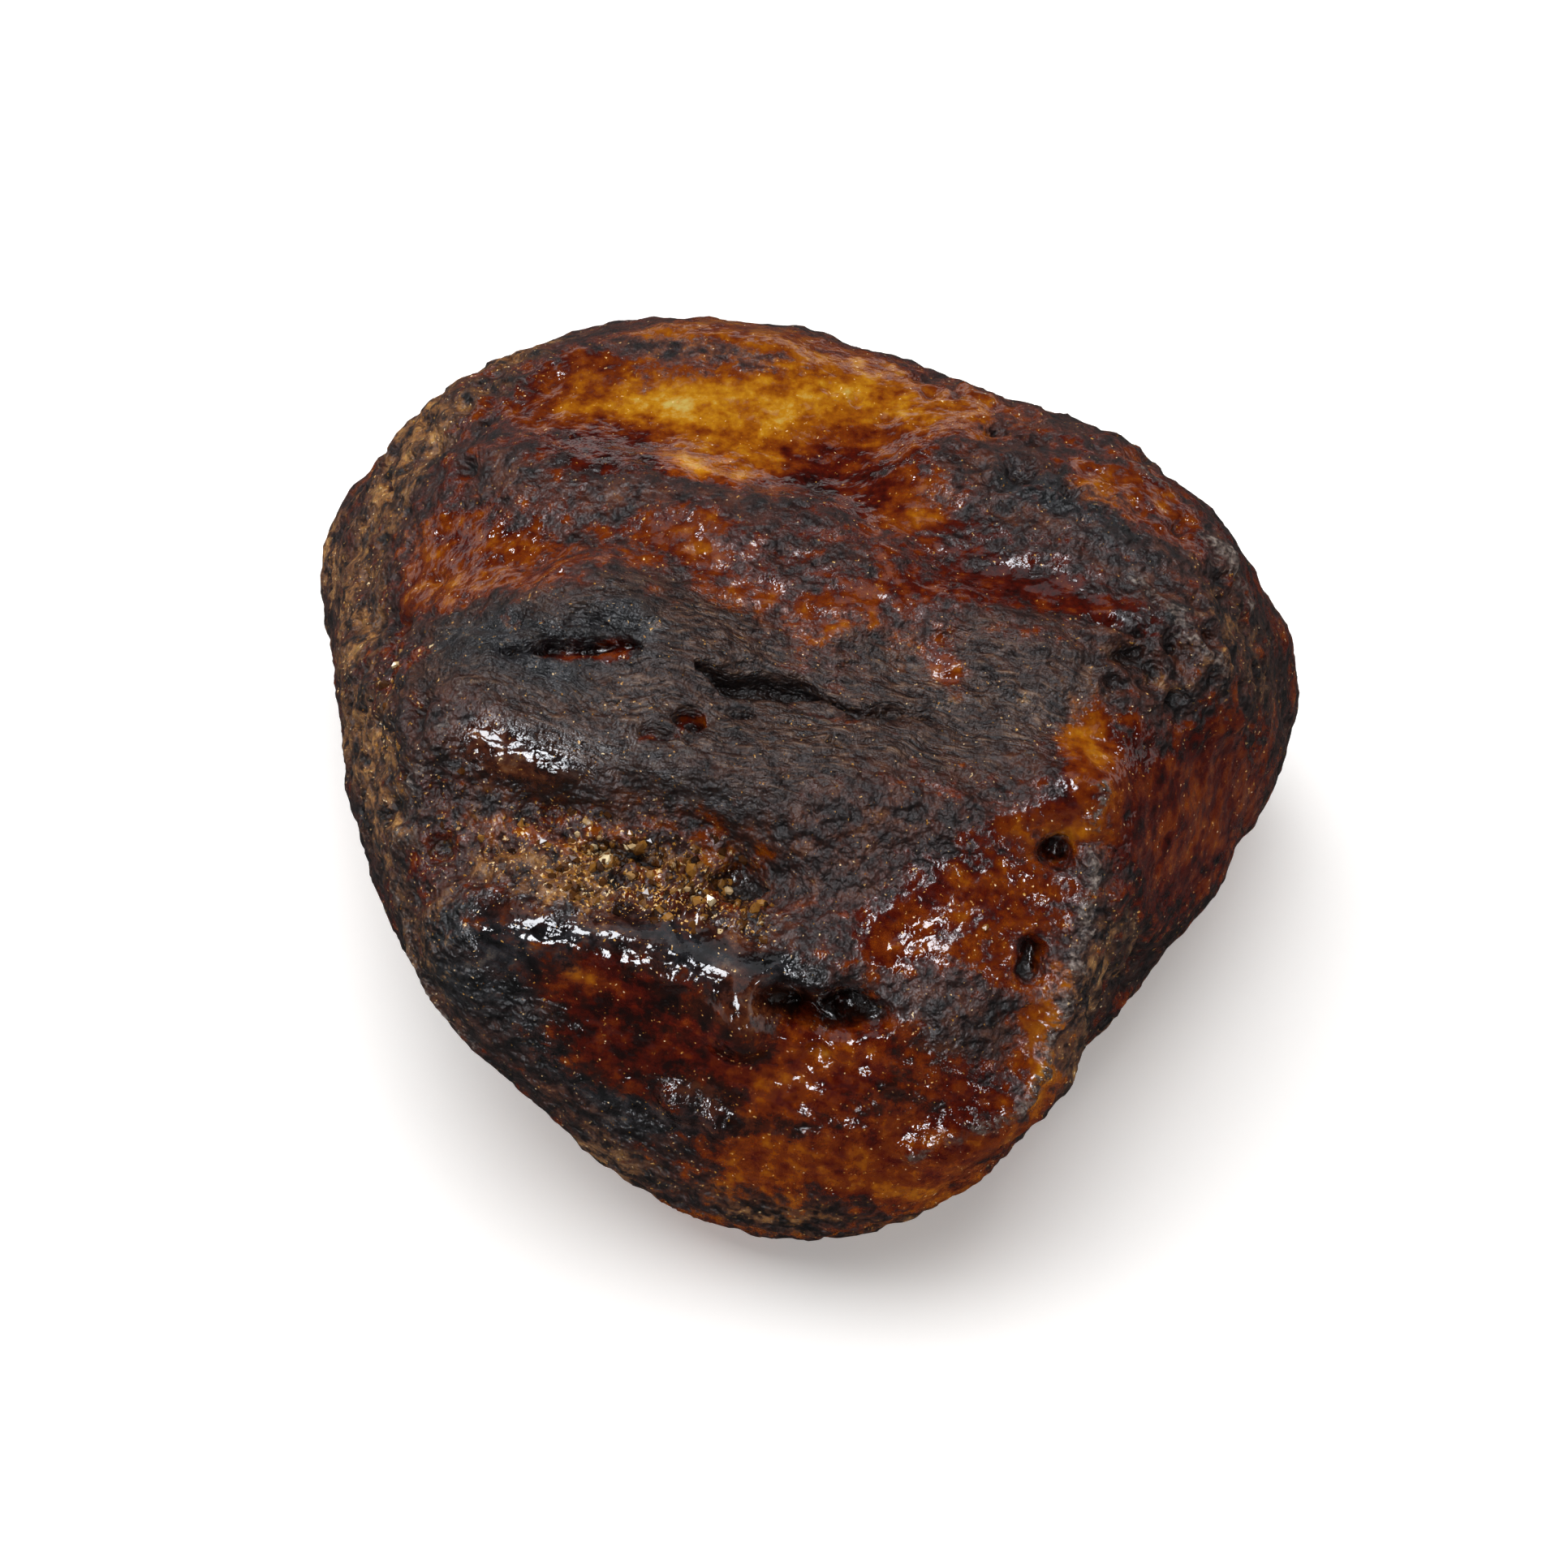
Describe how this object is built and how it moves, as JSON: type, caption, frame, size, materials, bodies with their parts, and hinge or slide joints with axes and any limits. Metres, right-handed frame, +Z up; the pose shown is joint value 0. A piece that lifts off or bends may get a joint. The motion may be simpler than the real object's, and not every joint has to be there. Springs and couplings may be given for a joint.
{
  "type": "raw amber piece",
  "caption": "Rough, water-worn lump of raw amber with a dark weathered crust and clear orange windows, resting on a small natural flat.",
  "frame": {"origin": "on the surface that the lump rests on, under the middle of its box", "axes": "+Z up, -Y the front with the pointed chin and the shelf, +X the right"},
  "size_m": [0.0518, 0.0504, 0.0299],
  "materials": {
    "crusted_amber": "dark, pitted, half-glossy weathered crust, worn through in places to see-through orange-red resin"
  },
  "bodies": {
    "root": {"amber_piece": "crusted_amber"}
  },
  "joints": []
}
